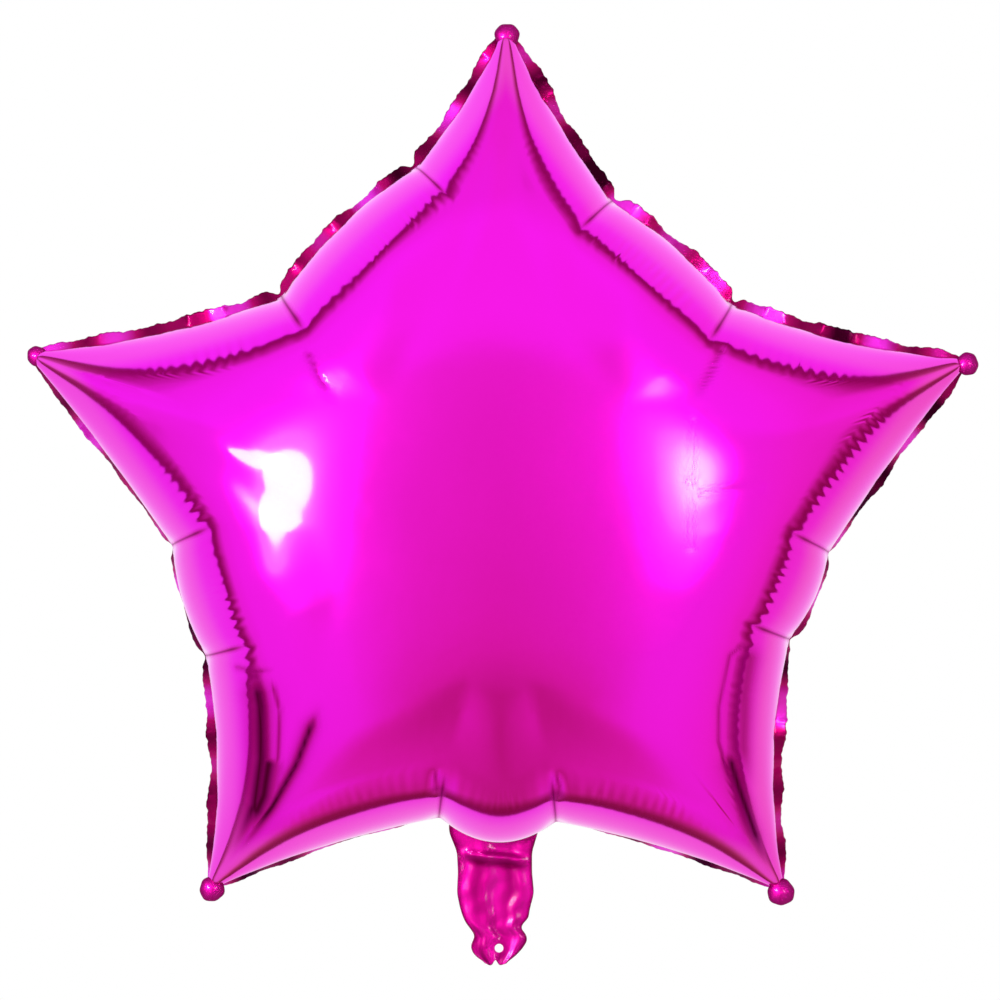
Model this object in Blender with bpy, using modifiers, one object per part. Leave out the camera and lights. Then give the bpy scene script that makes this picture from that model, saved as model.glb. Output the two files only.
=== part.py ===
# Star foil balloon, blown up: two sheets of metallised foil heat sealed together round a five-pointed
# outline, gathered into small pleats along the seam and pinched by two creases in every notch, with the
# seal showing as a ruffled flange and the filling neck hanging below as a crinkled tail with a tie hole.
# Metres, +Z up. The origin is the centre of the tie hole, the front faces -Y and one point is straight up.
import math

import bmesh
import bpy
import numpy as np
from mathutils import Matrix, Vector

# The sealed outline, seen from the front, as an even star
POINTS = 5
TIP_REACH = 0.2295          # star's centre to the end of a point
TIP_RADIUS = 0.0042         # rounding of a point
PINCH_REACH = 0.1515        # star's centre to the line through a notch's two pinch creases
NOTCH_WIDTH = 0.0638        # between a notch's two pinch creases
NOTCH_BULGE = 0.0040        # how far the notch's middle stands out from between its creases
LEG_HOLLOW = 0.0035         # how far a leg's side curves in from a straight line

# How this balloon stands off the even star, from the top leg on anticlockwise. Its tip and the two pinches
# of the notch that follows it are moved outwards and anticlockwise by these shares of a point's reach; the
# notch's bulge and the hollows of the leg's two sides are times the sizes above; shown is how much of the
# flange faces the front along the two sides and in the notch
UNEVEN_LEGS = (
    dict(tip=(-0.0087, -0.0105), pinches=((0.0222, -0.1342), (-0.0314, -0.0257)), bulge=1.12,
         hollows=(0.63, 0.71), shown=(0.90, 0.85, 0.85), neck_follows=False),
    dict(tip=(0.0266, 0.0009), pinches=((0.0183, 0.0022), (0.0231, -0.0370)), bulge=0.75,
         hollows=(1.14, 0.34), shown=(1.00, 0.45, 0.35), neck_follows=False),
    dict(tip=(-0.0065, -0.0270), pinches=((-0.0126, 0.0113), (-0.0039, -0.0235)), bulge=2.75,
         hollows=(1.29, 0.91), shown=(0.85, 0.30, 0.10), neck_follows=True),
    dict(tip=(-0.0183, 0.0070), pinches=((-0.0013, 0.0645), (0.0209, -0.0170)), bulge=0.75,
         hollows=(0.86, 1.57), shown=(0.35, 0.90, 0.40), neck_follows=False),
    dict(tip=(0.0122, -0.0113), pinches=((-0.0309, 0.0004), (-0.0035, 0.0479)), bulge=0.75,
         hollows=(0.46, 1.20), shown=(0.55, 1.00, 0.90), neck_follows=False),
)

# The blown-up body
HALF_DEPTH = 0.0880         # what the middle plane to the crown nears as the film fills
FULLNESS = 1.0              # 1 gives the legs half-round sections
FLATTENING = 4.0            # how flat the belly is against the rim

# Gathers and creases
SPINE_RUN = 0.0360          # from a point along the leg's middle, where rows from both sides meet
BORDER = 0.0270             # width of the pleated border
PLEAT_HEIGHT = 0.0009
PINCH_DEPTH = 0.0026        # at the two creases of a notch

# Mesh steps along half a leg: by its spine, along its side and to the notch's middle. Pleats take two
SPINE_STEPS = 6
SIDE_STEPS = 16
NOTCH_STEPS = 8
EASE_STEPS = 9              # over which the rows turn from the spine to square with the seam
WIDEN_STEPS = 11            # over which they reach the border's full width
BLUR_STEPS = 6
BORDER_SHARES = (0.11, 0.33, 0.63, 1.0)
BELLY_RINGS = ((0.90, 160), (0.76, 110), (0.58, 70), (0.38, 40), (0.19, 20))
MERGE_GAP = 0.000001

# The seal's flange
SHEET = 0.0008              # thickness of the sealed double sheet
FLANGE_WIDTH = 0.0062
FLANGE_SCALLOP = 0.0010
FLANGE_RUFFLE = 0.0020
FLANGE_LEAST_SHOWN = 0.35   # 1 lies in the star's plane and 0 would point straight back
FLANGE_AT_POINT = 0.35      # shares of its width that are left where the film is drawn in
FLANGE_AT_PINCH = 0.50
FLANGE_AT_NECK = 0.20

# The little round lobe that the seal leaves on each point
LOBE_RADIUS = 0.0056
LOBE_HALF_DEPTH = 0.0036
LOBE_ADVANCE = 0.0010       # how far its centre stands past the seam

# The filling neck, hanging as a tail; heights are above the tie hole
STAR_CENTRE_HEIGHT = 0.2117
TAIL_ASIDE = -0.0025        # its middle from the star's
TAIL_ROOT_WIDTH = 0.0428
TAIL_ROOT_HEIGHT = 0.0560
TAIL_WIDTH = 0.0360
TAIL_WIDTH_HEIGHT = 0.0470
TAIL_SHOULDER_HEIGHT = 0.0200
TAIL_WAIST_WIDTH = 0.0240
TAIL_WAIST_HEIGHT = 0.0095
TAIL_END_WIDTH = 0.0262
TAIL_BELOW_HOLE = 0.0082
TAIL_BOTTOM_WIDTH = 0.0190
TAIL_END_NOTCH = 0.0018     # between the two round corners of its end
TAIL_ROOT = 0.0180          # length that runs up inside the seam
TAIL_CLEAR = 0.0020         # from its root's edges to where the flange is at its width again
TAIL_SHEET = 0.0012         # so that it closes round the flange where it leaves the seam
TAIL_CRINKLE = 0.0018
TAIL_CALM_LENGTH = 0.0100   # over which the crinkles die away below the seam
TAIL_SLACK = 0.35           # its level crinkles' height next to that of its gathers
TAIL_FOLDS = 3.5            # gathers across its width
TAIL_SWAY_LENGTH = 0.0570   # over which the gathers wander across and back
TAIL_SLACK_LENGTH = 0.0240  # between its level crinkles
TAIL_COLUMNS = 18
TAIL_ROWS = 16
TIE_HOLE_DIAMETER = 0.0042
FLAT_ROUND_HOLE = 0.0110    # the crinkles die away within this distance of the hole

SECTOR = math.pi / POINTS
HALF_STEPS = SPINE_STEPS + SIDE_STEPS + NOTCH_STEPS
LEG_STEPS = 2 * HALF_STEPS
STATIONS = LEG_STEPS * POINTS


def remove_startup_objects():
    for thing in list(bpy.data.objects):
        bpy.data.objects.remove(thing, do_unlink=True)


def make_collections():
    balloon = bpy.data.collections.new("star_foil_balloon")
    cutters = bpy.data.collections.new("cutters")
    for group in (balloon, cutters):
        bpy.context.scene.collection.children.link(group)
    return balloon, cutters


def foil_material():
    foil = bpy.data.materials.new("magenta_foil")
    foil.use_nodes = True
    shader = foil.node_tree.nodes["Principled BSDF"]
    shader.inputs["Base Color"].default_value = (0.90, 0.007, 0.75, 1.0)
    shader.inputs["Metallic"].default_value = 1.0
    shader.inputs["Roughness"].default_value = 0.12
    return foil


def unit(vector):
    return vector / np.linalg.norm(vector, axis=-1, keepdims=True)


def smooth_step(value, low, high):
    share = np.clip((value - low) / (high - low), 0, 1)
    return share * share * (3 - 2 * share)


def on_star(turn, outwards, anticlockwise, shift):
    """A place given by its direction from the star's centre, moved by a shift in shares of the reach."""
    out = np.array([math.cos(turn), math.sin(turn)])
    round_it = np.array([-math.sin(turn), math.cos(turn)])
    return out * (outwards + shift[0] * TIP_REACH) + round_it * (anticlockwise + shift[1] * TIP_REACH)


def leg_point(number):
    turn = math.pi / 2 + 2 * SECTOR * number
    return on_star(turn, TIP_REACH, 0.0, UNEVEN_LEGS[number]["tip"])


def notch_pinches(number):
    """The two pinches of the notch that follows a leg, the nearer one first."""
    turn = math.pi / 2 + 2 * SECTOR * number + SECTOR
    first, second = UNEVEN_LEGS[number]["pinches"]
    half = NOTCH_WIDTH / 2
    return on_star(turn, PINCH_REACH, -half, first), on_star(turn, PINCH_REACH, half, second)


def half_leg(point, pinch, far_pinch, hollow, bulge):
    """The seam from a leg's point to the middle of a notch, and the inner ends of the rows that meet on
    the leg's spine."""
    axis = unit(-point)
    centre = point + axis * TIP_RADIUS
    to_pinch = unit(pinch - centre)
    out = np.array([-to_pinch[1], to_pinch[0]])
    out = out if out @ axis < 0 else -out
    across = np.array([-axis[1], axis[0]])
    across = across if across @ to_pinch > 0 else -across
    slope = math.acos(float(axis @ to_pinch))
    run = np.linalg.norm(pinch - centre)
    arc = (math.pi / 2 - slope) * TIP_RADIUS
    chord = far_pinch - pinch
    notch_out = np.array([-chord[1], chord[0]])
    notch_out = unit(notch_out if notch_out @ pinch > 0 else -notch_out)

    def side_place(travel):
        if travel < arc:
            turn = travel / TIP_RADIUS
            return centre - axis * TIP_RADIUS * math.cos(turn) + across * TIP_RADIUS * math.sin(turn)
        share = (travel - arc) / run
        bow = 4 * hollow * share * (1 - share)
        return centre + out * TIP_RADIUS * (1 - share) + to_pinch * run * share - out * bow

    seam, feet = [], []
    for step in range(SPINE_STEPS + 1):
        depth = SPINE_RUN * (step / SPINE_STEPS) ** 1.5
        travel = arc * min(1, depth / TIP_RADIUS) + max(0, depth - TIP_RADIUS) * math.cos(slope)
        seam.append(side_place(travel))
        feet.append(point + axis * depth)
    for step in range(1, SIDE_STEPS + 1):
        seam.append(side_place(travel + (arc + run - travel) * step / SIDE_STEPS))
    for step in range(1, NOTCH_STEPS + 1):
        share = step / NOTCH_STEPS / 2
        seam.append(pinch + chord * share + notch_out * bulge * 4 * share * (1 - share))
    return np.array(seam), np.array(feet)


def whole_outline():
    """The seam anticlockwise from the top point, and where rows end on a spine (elsewhere not a number)."""
    seam = np.zeros((STATIONS, 2))
    ends = np.full((STATIONS, 2), np.nan)
    for number, leg in enumerate(UNEVEN_LEGS):
        before = UNEVEN_LEGS[number - 1]
        sides = (
            (1, notch_pinches(number), leg["hollows"][1], leg["bulge"]),
            (-1, notch_pinches(number - 1)[::-1], leg["hollows"][0], before["bulge"]),
        )
        for way, (pinch, far_pinch), hollow, bulge in sides:
            points, feet = half_leg(leg_point(number), pinch, far_pinch, hollow * LEG_HOLLOW,
                                    bulge * NOTCH_BULGE)
            at = (number * LEG_STEPS + way * np.arange(len(points))) % STATIONS
            seam[at] = points
            ends[at[:len(feet)]] = feet
    return seam, ends


def steps_from_point():
    """Each station's steps from the nearest leg's point, less than 0 before it and more after it."""
    return (np.arange(STATIONS) + HALF_STEPS) % LEG_STEPS - HALF_STEPS


def blurred(values, reach):
    weights = np.hanning(2 * reach + 1)
    total = sum(w * np.roll(values, s, axis=0) for s, w in zip(range(-reach, reach + 1), weights))
    return total / weights.sum()


def inward_normals(seam):
    tangent = np.roll(seam, -1, axis=0) - np.roll(seam, 1, axis=0)
    return unit(np.column_stack([-tangent[:, 1], tangent[:, 0]]))


def row_ends(seam, ends):
    """Rows run square to the seam. Those of a leg's tip end on its spine, so that none cross."""
    on_spine = ~np.isnan(ends[:, 0])
    inward = inward_normals(seam)
    to_foot = np.where(on_spine[:, None], ends - seam, inward)
    length = np.linalg.norm(to_foot, axis=1)
    at_tip = length < MERGE_GAP
    direction = np.where(at_tip[:, None], inward, to_foot / np.where(at_tip, 1.0, length)[:, None])
    past_point = steps_from_point()
    spine_end = (np.arange(STATIONS) - past_point + np.sign(past_point) * SPINE_STEPS) % STATIONS
    opened = np.abs(past_point) - SPINE_STEPS
    ease = smooth_step(opened, 0, EASE_STEPS)[:, None]
    direction = unit(direction[spine_end] * (1 - ease) + unit(blurred(direction, BLUR_STEPS)) * ease)
    start = length[spine_end]
    length = start + (BORDER - start) * smooth_step(opened, 0, WIDEN_STEPS)
    return np.where(on_spine[:, None], ends, seam + direction * length[:, None])


def at_station(values, station):
    """Values round a ring, read between its stations."""
    low = np.floor(station).astype(int) % len(values)
    share = station - np.floor(station)
    share = share[:, None] if values.ndim > 1 else share
    return values[low] * (1 - share) + values[(low + 1) % len(values)] * share


def belly_rings(edge):
    """Rings inside the border's inner edge, rounder and sparser towards the crown."""
    count = len(edge)
    reach = np.hypot(edge[:, 0], edge[:, 1])
    angle = np.unwrap(np.arctan2(edge[:, 1], edge[:, 0]))
    even = angle[0] + 2 * math.pi * np.arange(count) / count
    mean = (reach.min() + reach.mean()) / 2
    rings = []
    for share, number in BELLY_RINGS:
        station = np.arange(number) * count / number
        heading = even[0] + 2 * math.pi * station / count + at_station(angle - even, station) * share ** 1.5
        radius = share * (mean + (at_station(reach, station) - mean) * share ** 1.6)
        rings.append(np.column_stack([np.cos(heading), np.sin(heading)]) * radius[:, None])
    return rings


def stitch(outer, inner):
    """Faces between two rings of vertex numbers, of like or unlike counts, which start together."""
    faces = []
    i = j = 0
    while i < len(outer) or j < len(inner):
        if (i + 1) / len(outer) <= (j + 1) / len(inner) and i < len(outer):
            faces.append((outer[i], outer[(i + 1) % len(outer)], inner[j % len(inner)]))
            i += 1
        else:
            faces.append((outer[i % len(outer)], inner[(j + 1) % len(inner)], inner[j % len(inner)]))
            j += 1
    return faces


def flat_sheet():
    """One side of the bag laid flat, seam first: its places, its faces and, for the rows of the border,
    each vertex's station and row. Vertices that fall together on a spine are one."""
    seam, ends = whole_outline()
    ends = row_ends(seam, ends)
    rings = [seam] + [seam * (1 - share) + ends * share for share in BORDER_SHARES]
    first_open = np.arange(2 * (SIDE_STEPS + NOTCH_STEPS)) + SPINE_STEPS
    open_ends = np.concatenate([first_open + leg * LEG_STEPS for leg in range(POINTS)])
    starts = np.cumsum([0] + [len(ring) for ring in rings])
    numbers = [list(range(start, start + len(ring))) for start, ring in zip(starts, rings)]
    faces = []
    for outer, inner in zip(numbers, numbers[1:]):
        faces += stitch(outer, inner)
    outer = [numbers[-1][station] for station in open_ends]
    for ring in belly_rings(ends[open_ends]):
        rings.append(ring)
        inner = list(range(outer_end(numbers), outer_end(numbers) + len(ring)))
        numbers.append(inner)
        faces += stitch(outer, inner)
        outer = inner
    crown = outer_end(numbers)
    faces += [(vert, outer[(number + 1) % len(outer)], crown) for number, vert in enumerate(outer)]
    plane = np.vstack(rings + [np.zeros((1, 2))])
    station = np.tile(np.arange(STATIONS), len(BORDER_SHARES) + 1)
    row = np.repeat(np.arange(len(BORDER_SHARES) + 1), STATIONS)
    room = np.linalg.norm(ends - seam, axis=1)
    return seam, room, merged(plane, faces, station, row)


def outer_end(numbers):
    return numbers[-1][-1] + 1


def merged(plane, faces, station, row):
    keys = np.round(plane / MERGE_GAP).astype(np.int64)
    found, first, where = np.unique(keys, axis=0, return_index=True, return_inverse=True)
    order = np.argsort(first)
    rank = np.empty(len(order), int)
    rank[order] = np.arange(len(order))
    where = rank[where.ravel()]
    kept = first[order]
    clean = []
    for face in faces:
        corners = list(dict.fromkeys(int(where[vert]) for vert in face))
        if len(corners) > 2:
            clean.append(tuple(corners))
    in_border = kept < len(station)
    return plane[kept], clean, station[kept[in_border]], row[kept[in_border]]


def film_height(plane, faces, held):
    """A film held at the seam swells under even pressure; the belly then flattens as real film does."""
    corners = []
    for face in faces:
        corners += [(face[0], face[k], face[k + 1]) for k in range(1, len(face) - 1)]
    corners = np.array(corners)
    count = len(plane)
    stiffness = np.zeros((count, count))
    load = np.zeros(count)
    for turn in range(3):
        a, b, c = (corners[:, (turn + k) % 3] for k in range(3))
        to_b, to_c = plane[b] - plane[a], plane[c] - plane[a]
        cross = np.abs(to_b[:, 0] * to_c[:, 1] - to_b[:, 1] * to_c[:, 0])
        weight = (to_b * to_c).sum(axis=1) / cross / 2
        np.add.at(load, a, cross / 6)
        for one, other in ((b, c), (c, b)):
            np.add.at(stiffness, (one, one), weight)
            np.add.at(stiffness, (one, other), -weight)
    free = np.flatnonzero(~held)
    swell = np.zeros(count)
    swell[free] = np.linalg.solve(stiffness[np.ix_(free, free)], load[free])
    rise = FULLNESS * np.sqrt(np.maximum(2 * swell, 0))
    return rise / (1 + (rise / HALF_DEPTH) ** FLATTENING) ** (1 / FLATTENING)


def sheet_normals(places, faces):
    """Vertex normals of the blown-up sheet, away from the middle plane."""
    total = np.zeros(places.shape)
    for face in faces:
        a, b, c = (places[face[k]] for k in (0, 1, -1))
        total[list(face)] += np.cross(b - a, c - a)
    total *= np.sign(total[:, 2:3] + MERGE_GAP ** 2)
    return unit(total)


def blown_sheet():
    """One side of the bag as (x, z, height) with its pleats and pinch creases."""
    seam, room, (plane, faces, station, row) = flat_sheet()
    held = np.zeros(len(plane), bool)
    held[:len(row)] = row == 0
    places = np.column_stack([plane, film_height(plane, faces, held) + SHEET / 2])
    fade = (1 - row / len(BORDER_SHARES)) ** 0.5 * (row > 0)
    ridge = np.where(station % 2 == 0, 1.0, -1.0) * PLEAT_HEIGHT
    to_pinch = np.abs(np.abs(steps_from_point()[station]) - SPINE_STEPS - SIDE_STEPS)
    ridge = np.where(to_pinch == 0, -PINCH_DEPTH, ridge)
    swell = ridge * fade * smooth_step(room[station], TIP_RADIUS, BORDER * 0.9)
    normal = sheet_normals(places, faces)[:len(row)]
    places[:len(row)] += normal * swell[:, None]
    return seam, places, faces, held


def flange_edge(seam):
    """The flange's outer edge as places in the star's plane, how far each leans and ruffles forwards, and
    its lean: 1 lies in the plane and 0 points straight back."""
    past_point = steps_from_point()
    middle = SPINE_STEPS + SIDE_STEPS * 2 // 3
    tip = np.arange(POINTS) * LEG_STEPS
    knots = np.concatenate([[t - middle, t, t + middle, t + HALF_STEPS] for t in tip])
    values = []
    for before, after, notch in (leg["shown"] for leg in UNEVEN_LEGS):
        values += [before, (before + after) / 2, after, notch]
    shown = np.interp(np.arange(STATIONS), knots, values, period=STATIONS)
    index = np.arange(STATIONS)
    width = FLANGE_WIDTH + FLANGE_SCALLOP * np.cos(index * math.pi / 2)
    width *= np.interp(np.abs(past_point), (0, SPINE_STEPS), (FLANGE_AT_POINT, 1.0))
    at_pinch = np.abs(past_point) == SPINE_STEPS + SIDE_STEPS
    width = np.where(at_pinch, FLANGE_AT_PINCH * FLANGE_WIDTH, width)
    neck_reach = TAIL_ROOT_WIDTH / 2 + TAIL_CLEAR
    at_neck = (np.abs(seam[:, 0] - TAIL_ASIDE) < neck_reach) & (seam[:, 1] < 0)
    width = np.where(at_neck, FLANGE_AT_NECK * FLANGE_WIDTH, width)
    shown = np.where(at_neck, 1.0, np.maximum(shown, FLANGE_LEAST_SHOWN))
    ruffle = FLANGE_RUFFLE * np.where(index % 2 == 0, 1.0, -1.0) * np.where(at_neck | at_pinch, 0.0, 1.0)
    ruffle *= np.interp(np.abs(past_point), (1, SPINE_STEPS), (0.0, 1.0))
    back = np.sqrt(1 - shown ** 2)
    return seam - inward_normals(seam) * (width * shown)[:, None], width * back + ruffle, shown


def build_bag():
    """Both sheets and the flange as one closed body."""
    seam, places, faces, held = blown_sheet()
    edge, lean, shown = flange_edge(seam)
    out = -inward_normals(seam)
    half = SHEET / 2
    mesh = bmesh.new()
    edges = []
    for side in (-1, 1):
        verts = [mesh.verts.new((x, side * height, z + STAR_CENTRE_HEIGHT)) for x, z, height in places]
        for face in faces:
            mesh.faces.new([verts[corner] for corner in (face if side < 0 else face[::-1])])
        seam_ring = verts[:STATIONS]
        tilt = -side * np.sqrt(1 - shown ** 2) * half
        shifted = edge + out * tilt[:, None]
        edge_ring = [mesh.verts.new((p[0], forward + side * half * flat, p[1] + STAR_CENTRE_HEIGHT))
                     for p, forward, flat in zip(shifted, lean, shown)]
        for face in stitch(edge_ring, seam_ring):
            mesh.faces.new(face if side < 0 else face[::-1])
        edges.append(edge_ring)
    for face in stitch(edges[1], edges[0]):
        mesh.faces.new(face)
    bmesh.ops.recalc_face_normals(mesh, faces=mesh.faces)
    data = bpy.data.meshes.new("star_balloon")
    mesh.to_mesh(data)
    mesh.free()
    return bpy.data.objects.new("star_balloon", data)


def build_lobes():
    """A small flattened ball on each point of the star."""
    mesh = bmesh.new()
    for number in range(POINTS):
        point = leg_point(number)
        x, z = point - unit(-point) * LOBE_ADVANCE
        ball = bmesh.ops.create_uvsphere(mesh, u_segments=10, v_segments=7, radius=LOBE_RADIUS)
        bmesh.ops.scale(mesh, vec=(1.0, LOBE_HALF_DEPTH / LOBE_RADIUS, 1.0), verts=ball["verts"])
        bmesh.ops.translate(mesh, vec=Vector((x, 0.0, z + STAR_CENTRE_HEIGHT)), verts=ball["verts"])
    data = bpy.data.meshes.new("point_lobes")
    mesh.to_mesh(data)
    mesh.free()
    return bpy.data.objects.new("point_lobes", data)


def tail_half_width(height):
    """Half the tail's width at a height: round end, waist over the tie hole, then nearly parallel sides."""
    stations = [
        (-TAIL_BELOW_HOLE, TAIL_BOTTOM_WIDTH / 2),
        (0.0, TAIL_END_WIDTH / 2),
        (TAIL_WAIST_HEIGHT, TAIL_WAIST_WIDTH / 2),
        (TAIL_SHOULDER_HEIGHT, TAIL_WIDTH / 2),
        (TAIL_WIDTH_HEIGHT, TAIL_WIDTH / 2),
        (TAIL_ROOT_HEIGHT, TAIL_ROOT_WIDTH / 2),
        (STAR_CENTRE_HEIGHT, TAIL_ROOT_WIDTH / 2),
    ]
    for (low, low_width), (high, high_width) in zip(stations, stations[1:]):
        if height <= high:
            share = max(0.0, (height - low) / (high - low))
            ease = share * share * (3 - 2 * share)
            return low_width + (high_width - low_width) * ease
    return high_width


def build_tail():
    """The flat neck as one crinkled sheet, gathered closer where it draws in over the tie hole."""
    seam, _ = whole_outline()
    before_neck = [leg["neck_follows"] for leg in UNEVEN_LEGS].index(True)
    seam_height = STAR_CENTRE_HEIGHT + seam[before_neck * LEG_STEPS + HALF_STEPS, 1]
    top = seam_height + TAIL_ROOT
    mesh = bmesh.new()
    rows = []
    for row in range(TAIL_ROWS + 1):
        rise = (row / TAIL_ROWS) ** 1.15
        end = max(0.0, 1 - rise * 8)
        verts = []
        for column in range(TAIL_COLUMNS + 1):
            across = 2 * column / TAIL_COLUMNS - 1
            height = -TAIL_BELOW_HOLE + (top + TAIL_BELOW_HOLE) * rise
            height += TAIL_END_NOTCH * end * (math.exp(-(across * 4) ** 2) - across ** 2 / 2)
            x = across * tail_half_width(height) + TAIL_ASIDE * smooth_step(height, 0.0, TAIL_WAIST_HEIGHT)
            sway = math.sin(2 * math.pi * height / TAIL_SWAY_LENGTH)
            gather = math.sin(math.pi * TAIL_FOLDS * across + 1.6 * sway)
            slack = TAIL_SLACK * math.sin(2 * math.pi * height / TAIL_SLACK_LENGTH + 2 * across)
            flat = min(1.0, math.hypot(x, height) / FLAT_ROUND_HOLE) ** 2
            flat *= smooth_step(seam_height - height, FLANGE_WIDTH, FLANGE_WIDTH + TAIL_CALM_LENGTH)
            verts.append(mesh.verts.new((x, TAIL_CRINKLE * flat * (gather + slack), height)))
        rows.append(verts)
    for low, high in zip(rows, rows[1:]):
        for k in range(TAIL_COLUMNS):
            mesh.faces.new((low[k], low[k + 1], high[k + 1], high[k]))
    bmesh.ops.recalc_face_normals(mesh, faces=mesh.faces)
    data = bpy.data.meshes.new("tail")
    mesh.to_mesh(data)
    mesh.free()
    tail = bpy.data.objects.new("tail", data)
    sheet = tail.modifiers.new("sheet", "SOLIDIFY")
    sheet.thickness = TAIL_SHEET
    sheet.offset = 0.0
    return tail


def build_tie_hole():
    mesh = bmesh.new()
    length = 6 * TAIL_CRINKLE + 4 * TAIL_SHEET
    bmesh.ops.create_cone(mesh, cap_ends=True, segments=20, radius1=TIE_HOLE_DIAMETER / 2,
                          radius2=TIE_HOLE_DIAMETER / 2, depth=length)
    bmesh.ops.rotate(mesh, matrix=Matrix.Rotation(math.pi / 2, 3, "X"), verts=mesh.verts)
    data = bpy.data.meshes.new("tie_hole")
    mesh.to_mesh(data)
    mesh.free()
    return bpy.data.objects.new("tie_hole", data)


def add_boolean(target, operation, tool, cutters):
    cutters.objects.link(tool)
    tool.hide_render = True
    tool.display_type = "WIRE"
    boolean = target.modifiers.new(tool.name, "BOOLEAN")
    boolean.operation = operation
    boolean.object = tool
    boolean.solver = "EXACT"


def main():
    remove_startup_objects()
    balloon, cutters = make_collections()
    bag = build_bag()
    balloon.objects.link(bag)
    bag.data.materials.append(foil_material())
    add_boolean(bag, "UNION", build_lobes(), cutters)
    add_boolean(bag, "UNION", build_tail(), cutters)
    add_boolean(bag, "DIFFERENCE", build_tie_hole(), cutters)


main()
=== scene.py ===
"""A star-shaped foil balloon, blown up: its two sheets of metallised film are sealed together round
a five-pointed outline and gather into small pleats inside the seam.

The front faces -Y and one point is straight up. The tie hole in the tail is the origin. Lengths are
in metres. Places taken from the photograph are pixels of its 1000 by 1000 frame.
"""
import math

import bmesh
import bpy
import numpy as np
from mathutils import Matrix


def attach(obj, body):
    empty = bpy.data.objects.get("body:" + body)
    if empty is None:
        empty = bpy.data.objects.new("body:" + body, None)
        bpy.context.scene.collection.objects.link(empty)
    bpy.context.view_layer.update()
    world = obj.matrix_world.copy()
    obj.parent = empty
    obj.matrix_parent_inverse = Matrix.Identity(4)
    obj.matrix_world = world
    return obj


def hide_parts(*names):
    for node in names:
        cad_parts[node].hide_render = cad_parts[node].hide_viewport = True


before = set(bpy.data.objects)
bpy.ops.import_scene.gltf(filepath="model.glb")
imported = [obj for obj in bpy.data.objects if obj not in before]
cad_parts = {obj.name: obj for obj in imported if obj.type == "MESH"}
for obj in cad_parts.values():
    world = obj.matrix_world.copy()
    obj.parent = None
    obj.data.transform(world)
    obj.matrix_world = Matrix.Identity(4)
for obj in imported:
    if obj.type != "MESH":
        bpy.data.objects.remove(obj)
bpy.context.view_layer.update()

# The photograph's scale at the balloon, and where the star's centre is
PIXEL = 0.000481
FRAME_PIXELS = 1000
CENTRE_PIXEL = (501, 508)
CENTRE_HEIGHT = 0.2117      # of the star's centre above the tie hole

# The sealed outline. Each leg has its point, the two pinches of the notch that follows it
# anticlockwise, how far that notch's middle bulges and how far the leg's own two sides curve in.
# Then, along its two sides and in the notch: how much of the flange shows from the front and how
# dark the painted reflection on it is, how strong the pleats are, and how far the rim swells out
# over the even film
LEGS = (
    dict(point=(506, 35), pinches=((415, 168), (281, 297)),
         bulge=0.0045, hollows=(0.0022, 0.0025),
         shown=(0.90, 0.85, 0.85), shade=(0.75, 0.55, 0.55),
         pleats=(0.10, 0.10, 0.80), swell=(-0.0008, -0.0008, 0.0030)),
    dict(point=(35, 357), pinches=((173, 546), (206, 655)),
         bulge=0.0030, hollows=(0.0040, 0.0012),
         shown=(1.00, 0.45, 0.35), shade=(0.45, 0.50, 0.60),
         pleats=(0.70, 0.00, 1.60), swell=(0.0000, -0.0005, 0.0028)),
    dict(point=(212, 884), pinches=((440, 817), (556, 821)),
         bulge=0.0110, hollows=(0.0045, 0.0032),
         shown=(0.85, 0.30, 0.10), shade=(0.60, 0.60, 0.30),
         pleats=(0.10, 0.15, 0.10), swell=(0.0005, -0.0015, -0.0015)),
    dict(point=(779, 885), pinches=((789, 639), (828, 553)),
         bulge=0.0030, hollows=(0.0030, 0.0055),
         shown=(0.35, 0.90, 0.40), shade=(0.60, 0.50, 0.50),
         pleats=(0.25, 0.40, 0.80), swell=(-0.0015, 0.0000, 0.0010)),
    dict(point=(962, 364), pinches=((731, 304), (613, 202)),
         bulge=0.0030, hollows=(0.0016, 0.0042),
         shown=(0.55, 1.00, 0.90), shade=(0.75, 0.50, 0.15),
         pleats=(0.50, 0.60, 0.90), swell=(0.0000, 0.0000, 0.0030)),
)
POINT_RADIUS = 0.0042

# Mesh steps: a leg's spine is where the rows from its two sides meet
SPINE_STEPS = 40
SPINE_RUN = 0.0360
OPEN_STEPS = 120            # from the spine's end to a notch's middle, five to a pleat
HALF_STEPS = SPINE_STEPS + OPEN_STEPS
LEG_STEPS = 2 * HALF_STEPS
STATIONS = LEG_STEPS * len(LEGS)
SIDE_MIDDLE = 90            # from a point to the middle of its leg's side
FAN_STEPS = 50              # from a spine's end to where the rows fan out evenly
FAN_BLUR = 34
WIDEN_STEPS = 60            # from there to where the pleated border has its full width
BAND = 0.0270               # that width
ROW_CROWDING = 1.6          # above 1, the rows lie closer together next to the seam
RING_ROUNDING = 1.6         # above 1, the belly's rings soon grow round on their way to the crown
RING_TURNING = 1.5
RING_GROWTH = 0.75          # how much wider the rings are after each halving of their stations
LAST_RING = 1.6
FRONT_ROWS, FRONT_RINGS = 24, (8, 12, 10, 5, 3)
BACK_ROWS, BACK_RINGS = 14, (4, 8, 9, 5, 3)
WELD_GAP = 0.00001

# The blown-up form: the legs have half-round sections and the belly is flatter than the rim
HALF_DEPTH = 0.0880
FLATTENING = 4.0
SOLVER_STEPS = 4000
SOLVER_ERROR = 1e-13

# The pleats: faint on the outer half of the rim, deeper on its inner half, up to an uneven end
PLEAT_STEPS = 5
FAINT_PLEAT = 0.00003
DEEP_PLEAT = 0.00024
PLEAT_END = 0.030           # from the seam
PLEAT_END_SPREAD = 0.008
PLEAT_BLUR = 12             # stations over which one stretch's strength passes into the next
SWELL_BLUR = 20
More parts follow.
